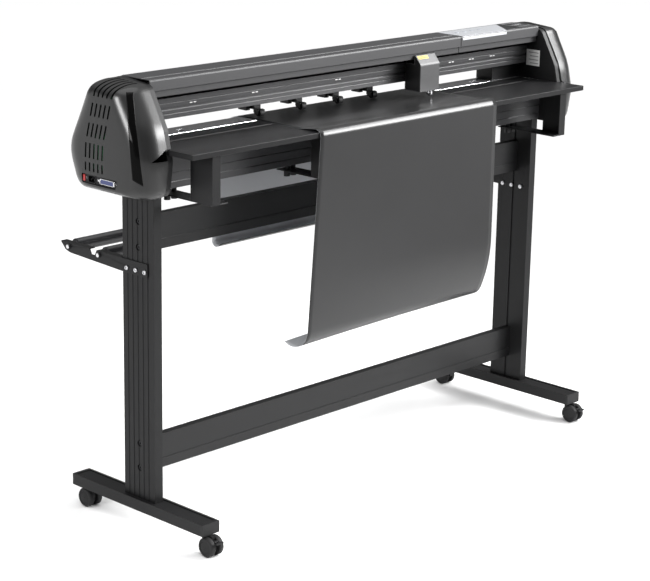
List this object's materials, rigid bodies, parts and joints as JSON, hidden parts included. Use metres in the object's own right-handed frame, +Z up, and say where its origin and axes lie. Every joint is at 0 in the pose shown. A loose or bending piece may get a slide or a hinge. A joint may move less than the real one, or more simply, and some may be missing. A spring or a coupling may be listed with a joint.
{
  "type": "vinyl cutter",
  "caption": "Floor-standing roll cutter: wheeled stand, roll holder, platen with sliding pinch rollers, belt-driven tool carriage and a loaded vinyl sheet.",
  "frame": {"origin": "on the floor, below the middle of the machine's box, where the caster wheels stand", "axes": "+X runs along the machine towards the control panel, +Y is the back where the roll holder is, +Z is up"},
  "size_m": [1.638, 0.559, 1.118],
  "materials": {
    "frame_black": "fine-textured black powder coat",
    "plastic_black": "matte moulded black",
    "tread_black": "matte black rubber",
    "fastener_steel": "zinc-plated steel",
    "roller_black": "black tube",
    "rail_black": "black anodised aluminium extrusion",
    "platen_silver": "smooth bright silver strip",
    "cap_gloss": "satin-gloss moulded black",
    "strip_gloss": "high-gloss black inset",
    "keypad_silver": "silver membrane overlay",
    "display_glass": "dark display window",
    "key_grey": "grey keys",
    "rocker_red": "red rocker",
    "board_green": "circuit board and power supply",
    "motor_black": "black motor with steel pulley",
    "shaft_steel": "ground steel",
    "carriage_dark": "black moulded parts",
    "carriage_grey": "dark grey cover",
    "vinyl_black": "satin black film with a pale liner"
  },
  "bodies": {
    "root": {"left_leg": "frame_black", "right_leg": "frame_black", "left_foot": "frame_black", "right_foot": "frame_black", "foot_end_caps": "plastic_black", "crossbeams": "frame_black", "stand_bolts": "fastener_steel", "roll_brackets": "frame_black", "base_beam": "rail_black", "platen": "platen_silver", "front_table": "rail_black", "table_brackets": "frame_black", "bracket_knobs": "plastic_black", "guide_rail": "rail_black", "top_cover": "rail_black", "end_frames": "plastic_black", "left_cap": "cap_gloss", "right_cap": "cap_gloss", "cap_trim_strips": "strip_gloss", "panel_housing": "rail_black", "keypad_overlay": "keypad_silver", "display_window": "display_glass", "io_plate": "plastic_black", "electronics": "board_green", "drive_motors": "motor_black", "drive_belts": "tread_black", "vinyl_sheet": "vinyl_black"},
    "carriage": {"carriage_plate": "carriage_dark", "carriage_cover": "carriage_grey"},
    "tool": {"tool_holder": "shaft_steel"},
    "feed": {"feed_shaft": "shaft_steel"},
    "pinch_1": {"pinch_1_carrier": "carriage_dark"},
    "pinch_1_lever": {"pinch_1_arm": "carriage_dark"},
    "pinch_1_roller": {"pinch_1_wheel": "tread_black"},
    "pinch_2": {"pinch_2_carrier": "carriage_dark"},
    "pinch_2_lever": {"pinch_2_arm": "carriage_dark"},
    "pinch_2_roller": {"pinch_2_wheel": "tread_black"},
    "pinch_3": {"pinch_3_carrier": "carriage_dark"},
    "pinch_3_lever": {"pinch_3_arm": "carriage_dark"},
    "pinch_3_roller": {"pinch_3_wheel": "tread_black"},
    "pinch_4": {"pinch_4_carrier": "carriage_dark"},
    "pinch_4_lever": {"pinch_4_arm": "carriage_dark"},
    "pinch_4_roller": {"pinch_4_wheel": "tread_black"},
    "caster_fl": {"caster_fl_fork": "plastic_black"},
    "caster_fl_wheel_pair": {"caster_fl_wheels": "tread_black"},
    "caster_fr": {"caster_fr_fork": "plastic_black"},
    "caster_fr_wheel_pair": {"caster_fr_wheels": "tread_black"},
    "caster_rl": {"caster_rl_fork": "plastic_black"},
    "caster_rl_wheel_pair": {"caster_rl_wheels": "tread_black"},
    "caster_rr": {"caster_rr_fork": "plastic_black"},
    "caster_rr_wheel_pair": {"caster_rr_wheels": "tread_black"},
    "caster_fl_lever": {"caster_fl_brake": "plastic_black"},
    "caster_fr_lever": {"caster_fr_brake": "plastic_black"},
    "front_roller": {"front_media_roller": "roller_black"},
    "rear_roller": {"rear_media_roller": "roller_black"},
    "left_key": {"key_left": "key_grey"},
    "right_key": {"key_right": "key_grey"},
    "menu_key": {"key_menu": "key_grey"},
    "pause_key": {"key_pause": "key_grey"},
    "rocker": {"power_rocker": "rocker_red"}
  },
  "joints": [
    {"name": "carriage_slide", "type": "slide", "parent": "root", "child": "carriage", "axis": [1, 0, 0], "range_m": [-0.9, 0.42]},
    {"name": "tool_lift", "type": "slide", "parent": "carriage", "child": "tool", "axis": [0, 0, 1], "range_m": [-0.003, 0], "stiffness_N_per_m": 2000},
    {"name": "feed_spin", "type": "hinge", "parent": "root", "child": "feed", "pos_m": [0, 0.0325, 0.9559], "axis": [1, 0, 0], "continuous": true},
    {"name": "pinch_1_slide", "type": "slide", "parent": "root", "child": "pinch_1", "axis": [1, 0, 0], "range_m": [-0.28, 0.04]},
    {"name": "pinch_1_lift", "type": "hinge", "parent": "pinch_1", "child": "pinch_1_lever", "pos_m": [-0.284, 0.0705, 0.992], "axis": [1, 0, 0], "range_deg": [-12, 0], "stiffness_Nm_per_rad": 0.4, "springref_deg": 17.19},
    {"name": "pinch_1_spin", "type": "hinge", "parent": "pinch_1_lever", "child": "pinch_1_roller", "pos_m": [-0.284, 0.0325, 0.978], "axis": [1, 0, 0], "continuous": true},
    {"name": "pinch_2_slide", "type": "slide", "parent": "root", "child": "pinch_2", "axis": [1, 0, 0], "range_m": [-0.04, 0.04]},
    {"name": "pinch_2_lift", "type": "hinge", "parent": "pinch_2", "child": "pinch_2_lever", "pos_m": [-0.136, 0.0705, 0.992], "axis": [1, 0, 0], "range_deg": [-12, 0], "stiffness_Nm_per_rad": 0.4, "springref_deg": 17.19},
    {"name": "pinch_2_spin", "type": "hinge", "parent": "pinch_2_lever", "child": "pinch_2_roller", "pos_m": [-0.136, 0.0325, 0.978], "axis": [1, 0, 0], "continuous": true},
    {"name": "pinch_3_slide", "type": "slide", "parent": "root", "child": "pinch_3", "axis": [1, 0, 0], "range_m": [-0.04, 0.04]},
    {"name": "pinch_3_lift", "type": "hinge", "parent": "pinch_3", "child": "pinch_3_lever", "pos_m": [0, 0.0705, 0.992], "axis": [1, 0, 0], "range_deg": [-12, 0], "stiffness_Nm_per_rad": 0.4, "springref_deg": 17.19},
    {"name": "pinch_3_spin", "type": "hinge", "parent": "pinch_3_lever", "child": "pinch_3_roller", "pos_m": [0, 0.0325, 0.978], "axis": [1, 0, 0], "continuous": true},
    {"name": "pinch_4_slide", "type": "slide", "parent": "root", "child": "pinch_4", "axis": [1, 0, 0], "range_m": [-0.04, 0.3]},
    {"name": "pinch_4_lift", "type": "hinge", "parent": "pinch_4", "child": "pinch_4_lever", "pos_m": [0.13, 0.0705, 0.992], "axis": [1, 0, 0], "range_deg": [-12, 0], "stiffness_Nm_per_rad": 0.4, "springref_deg": 17.19},
    {"name": "pinch_4_spin", "type": "hinge", "parent": "pinch_4_lever", "child": "pinch_4_roller", "pos_m": [0.13, 0.0325, 0.978], "axis": [1, 0, 0], "continuous": true},
    {"name": "caster_fl_swivel", "type": "hinge", "parent": "root", "child": "caster_fl", "pos_m": [-0.7085, -0.2295, 0.051], "axis": [0, 0, 1], "continuous": true},
    {"name": "caster_fl_roll", "type": "hinge", "parent": "caster_fl", "child": "caster_fl_wheel_pair", "pos_m": [-0.7085, -0.2475, 0.0245], "axis": [1, 0, 0], "continuous": true},
    {"name": "caster_fr_swivel", "type": "hinge", "parent": "root", "child": "caster_fr", "pos_m": [0.7085, -0.2295, 0.051], "axis": [0, 0, 1], "continuous": true},
    {"name": "caster_fr_roll", "type": "hinge", "parent": "caster_fr", "child": "caster_fr_wheel_pair", "pos_m": [0.7085, -0.2475, 0.0245], "axis": [1, 0, 0], "continuous": true},
    {"name": "caster_rl_swivel", "type": "hinge", "parent": "root", "child": "caster_rl", "pos_m": [-0.7085, 0.2185, 0.051], "axis": [0, 0, 1], "continuous": true},
    {"name": "caster_rl_roll", "type": "hinge", "parent": "caster_rl", "child": "caster_rl_wheel_pair", "pos_m": [-0.7085, 0.2005, 0.0245], "axis": [1, 0, 0], "continuous": true},
    {"name": "caster_rr_swivel", "type": "hinge", "parent": "root", "child": "caster_rr", "pos_m": [0.7085, 0.2185, 0.051], "axis": [0, 0, 1], "continuous": true},
    {"name": "caster_rr_roll", "type": "hinge", "parent": "caster_rr", "child": "caster_rr_wheel_pair", "pos_m": [0.7085, 0.2365, 0.0245], "axis": [1, 0, 0], "continuous": true},
    {"name": "caster_fl_brake", "type": "hinge", "parent": "caster_fl", "child": "caster_fl_lever", "pos_m": [-0.7085, -0.2625, 0.038], "axis": [1, 0, 0], "range_deg": [0, 14]},
    {"name": "caster_fr_brake", "type": "hinge", "parent": "caster_fr", "child": "caster_fr_lever", "pos_m": [0.7085, -0.2625, 0.038], "axis": [1, 0, 0], "range_deg": [0, 14]},
    {"name": "front_roller_spin", "type": "hinge", "parent": "root", "child": "front_roller", "pos_m": [0, 0.1355, 0.668], "axis": [1, 0, 0], "continuous": true},
    {"name": "rear_roller_spin", "type": "hinge", "parent": "root", "child": "rear_roller", "pos_m": [0, 0.2495, 0.668], "axis": [1, 0, 0], "continuous": true},
    {"name": "key_left_press", "type": "slide", "parent": "root", "child": "left_key", "axis": [0, 0, 1], "range_m": [-0.0008, 0], "stiffness_N_per_m": 400},
    {"name": "key_right_press", "type": "slide", "parent": "root", "child": "right_key", "axis": [0, 0, 1], "range_m": [-0.0008, 0], "stiffness_N_per_m": 400},
    {"name": "key_menu_press", "type": "slide", "parent": "root", "child": "menu_key", "axis": [0, 0, 1], "range_m": [-0.0008, 0], "stiffness_N_per_m": 400},
    {"name": "key_pause_press", "type": "slide", "parent": "root", "child": "pause_key", "axis": [0, 0, 1], "range_m": [-0.0008, 0], "stiffness_N_per_m": 400},
    {"name": "power_rock", "type": "hinge", "parent": "root", "child": "rocker", "pos_m": [-0.813, 0.0755, 0.882], "axis": [0, 1, 0], "range_deg": [-7, 7]}
  ]
}
